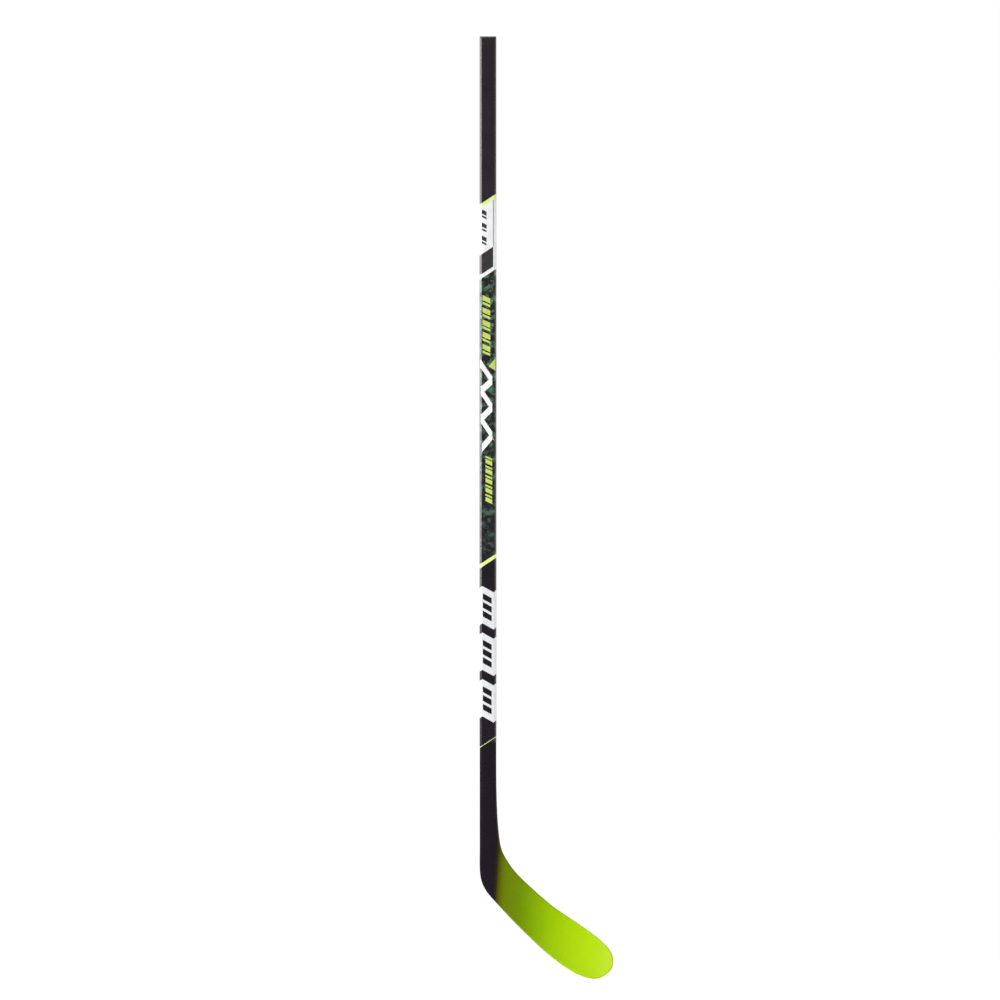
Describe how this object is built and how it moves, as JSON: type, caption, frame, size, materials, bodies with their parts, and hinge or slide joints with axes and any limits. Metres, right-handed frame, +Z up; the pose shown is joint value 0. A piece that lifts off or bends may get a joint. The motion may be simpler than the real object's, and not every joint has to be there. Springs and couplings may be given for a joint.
{
  "type": "ice hockey stick",
  "caption": "Long rectangular composite shaft with a push-in end plug, flowing through a bend into a curved, foam-cored blade for the left-handed player.",
  "frame": {"origin": "centre of the butt end's flat face, on the end plug's cap", "axes": "+Z up along the shaft, out of the butt end; -Y out of the forehand face; +X to the blade's toe side"},
  "size_m": [0.2373, 0.0697, 1.6735],
  "materials": {
    "coated_laminate": "satin clear coat over carbon laminate",
    "moulded_plug": "fine moulded texture",
    "bare_laminate": "bare carbon laminate",
    "epoxy": "cured structural adhesive",
    "blade_laminate": "satin paint fading from black at the heel to lime at the toe",
    "foam": "closed-cell rigid foam",
    "white_film": "satin printed film",
    "camouflage_film": "satin printed film, dark green camouflage",
    "dark_film": "satin printed film with white blocks",
    "lime_film": "satin printed film"
  },
  "bodies": {
    "stick": {"shaft_tube": "coated_laminate", "fuse_tenon": "bare_laminate", "fuse_adhesive": "epoxy", "blade_front_skin": "blade_laminate", "blade_back_skin": "blade_laminate", "hosel_core": "foam", "blade_core_upper": "foam", "blade_core_lower": "foam", "core_bridge": "bare_laminate", "upper_badge_film": "white_film", "camouflage_film": "camouflage_film", "lower_badge_film": "dark_film", "pinstripe_film": "lime_film"},
    "plug": {"end_plug": "moulded_plug"}
  },
  "joints": [
    {"name": "plug_pull", "type": "slide", "parent": "stick", "child": "plug", "axis": [0, 0, 1], "range_m": [0, 0.06]}
  ]
}
